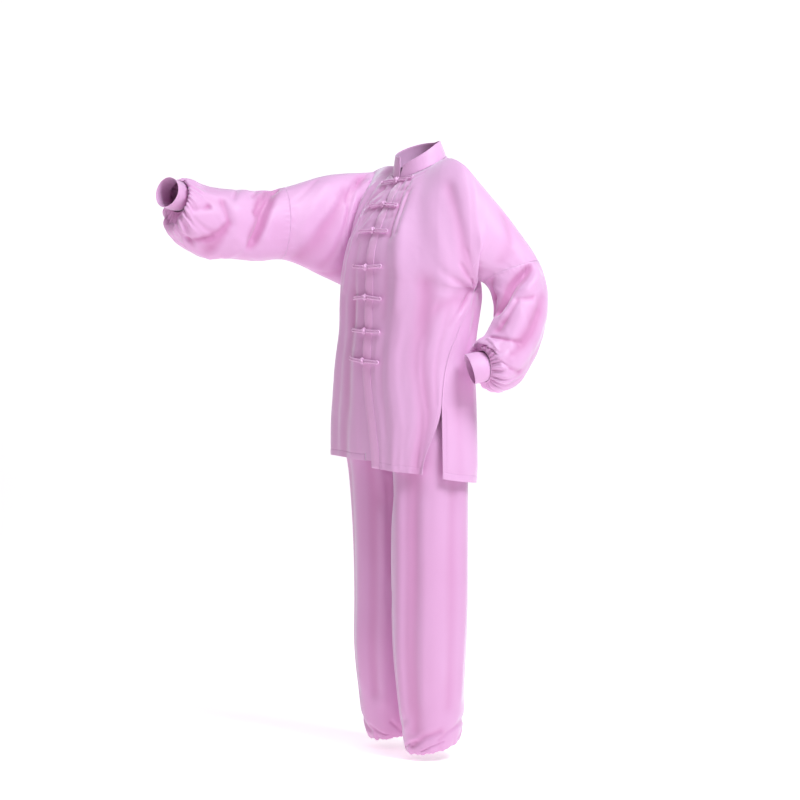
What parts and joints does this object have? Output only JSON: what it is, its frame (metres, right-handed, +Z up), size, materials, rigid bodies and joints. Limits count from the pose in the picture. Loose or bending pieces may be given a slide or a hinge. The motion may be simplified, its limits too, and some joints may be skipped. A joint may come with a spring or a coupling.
{
  "type": "tai chi uniform",
  "caption": "Pink tai chi uniform as worn, one arm raised: stand-up collar, cord fastenings down the front, full sleeves gathered into cuffs, side vents, loose trousers with gathered ankles.",
  "frame": {"origin": "middle of the neck opening's base, where the wearer's neck carries the jacket", "axes": "+Z up, +X towards the wearer's left, -Y towards the wearer's front"},
  "size_m": [0.6427, 0.6888, 1.4051],
  "materials": {
    "jacket_cloth": "thin soft satin weave, pink",
    "trouser_cloth": "thin soft satin weave, pink",
    "cord": "rolled cord of the same cloth"
  },
  "bodies": {
    "root": {"body_left": "jacket_cloth", "body_right": "jacket_cloth", "sleeve_left": "jacket_cloth", "sleeve_right": "jacket_cloth", "cuff_left": "jacket_cloth", "cuff_right": "jacket_cloth", "collar": "jacket_cloth", "front_band": "jacket_cloth", "leg_left": "trouser_cloth", "leg_right": "trouser_cloth", "waistband": "trouser_cloth", "frog_1_left": "cord", "frog_1_right": "cord", "frog_1_knot": "cord", "frog_2_left": "cord", "frog_2_right": "cord", "frog_2_knot": "cord", "frog_3_left": "cord", "frog_3_right": "cord", "frog_3_knot": "cord", "frog_4_left": "cord", "frog_4_right": "cord", "frog_4_knot": "cord", "frog_5_left": "cord", "frog_5_right": "cord", "frog_5_knot": "cord", "frog_6_left": "cord", "frog_6_right": "cord", "frog_6_knot": "cord", "frog_7_left": "cord", "frog_7_right": "cord", "frog_7_knot": "cord"}
  },
  "joints": []
}
